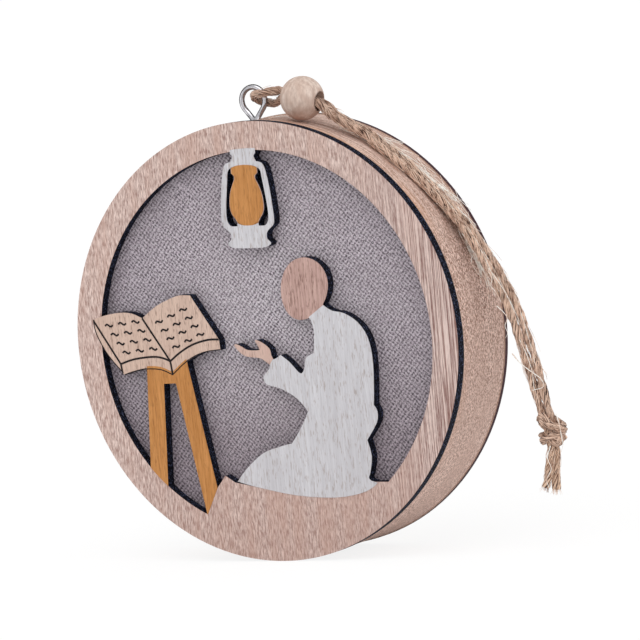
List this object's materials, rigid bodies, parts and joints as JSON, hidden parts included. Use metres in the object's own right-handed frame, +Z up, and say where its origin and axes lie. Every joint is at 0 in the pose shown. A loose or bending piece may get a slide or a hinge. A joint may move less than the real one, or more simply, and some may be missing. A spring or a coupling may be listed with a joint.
{
  "type": "hanging box ornament",
  "caption": "Round wooden hanging box ornament: a cut and printed front sheet over a fabric screen, a deep rim, a back light module, and a twine loop with a bead.",
  "frame": {"origin": "centre of the screw eye's ring, where the ornament hangs", "axes": "+Z up through the box, +Y from the printed front towards the back, +X to the right seen from the front"},
  "size_m": [0.1436, 0.0282, 0.1306],
  "materials": {
    "sheet_wood": "bare sanded plywood with a fine straight grain and charred cut edges",
    "rim_wood": "bare fine-speckled wood, sanded",
    "white_paint": "thin matt white print with the wood grain showing",
    "gold_paint": "thin matt ochre print with the wood grain showing",
    "head_paint": "thin matt tan print with the wood grain showing",
    "hand_paint": "thin matt pale tan print",
    "book_paint": "thin matt pale tan print with the wood grain showing",
    "line_paint": "matt black print",
    "screen_fabric": "grey woven screen cloth with pale glitter threads",
    "eye_steel": "bright nickel-plated steel wire",
    "bead_wood": "bare pale turned wood",
    "jute": "rough two-ply jute twine with loose fibres",
    "case_plastic": "matt black moulded plastic",
    "door_plastic": "matt black moulded plastic",
    "cell_steel": "bright steel",
    "contact_metal": "plated spring brass",
    "switch_shell": "plain steel",
    "switch_knob": "white moulded plastic",
    "board": "green circuit board",
    "led_lens": "clear warm-white lens",
    "screw_steel": "zinc-plated steel"
  },
  "bodies": {
    "ornament": {"front_plate": "sheet_wood", "robe_print": "white_paint", "head_print": "head_paint", "hand_print": "hand_paint", "book_print": "book_paint", "book_lines": "line_paint", "stand_print": "gold_paint", "lantern_print": "white_paint", "lantern_glass_print": "gold_paint", "fabric_screen": "screen_fabric", "rim_band": "rim_wood", "back_plate": "sheet_wood", "screw_eye": "eye_steel", "battery_case": "case_plastic", "coin_cells": "cell_steel", "negative_contact": "contact_metal", "positive_contact": "contact_metal", "switch_body": "switch_shell", "light_board": "board", "leds": "led_lens", "module_screws": "screw_steel"},
    "hanger": {"twine_front": "jute", "twine_rear": "jute", "twine_knot": "jute", "twine_tails": "jute"},
    "bead": {"bead": "bead_wood"},
    "door": {"battery_door": "door_plastic"},
    "switch": {"switch_slider": "switch_knob"}
  },
  "joints": [
    {"name": "hanger_swing", "type": "hinge", "parent": "ornament", "child": "hanger", "pos_m": [0, 0, 0], "axis": [0, -1, 0], "range_deg": [0, 110]},
    {"name": "bead_slide", "type": "slide", "parent": "hanger", "child": "bead", "axis": [0.9792, 0, -0.2028], "range_m": [-0.001, 0.0005]},
    {"name": "door_twist", "type": "hinge", "parent": "ornament", "child": "door", "pos_m": [0.002, 0.018, -0.0645], "axis": [0, 1, 0], "range_deg": [0, 30]},
    {"name": "switch_slide", "type": "slide", "parent": "ornament", "child": "switch", "axis": [1, 0, 0], "range_m": [0, 0.002]}
  ]
}
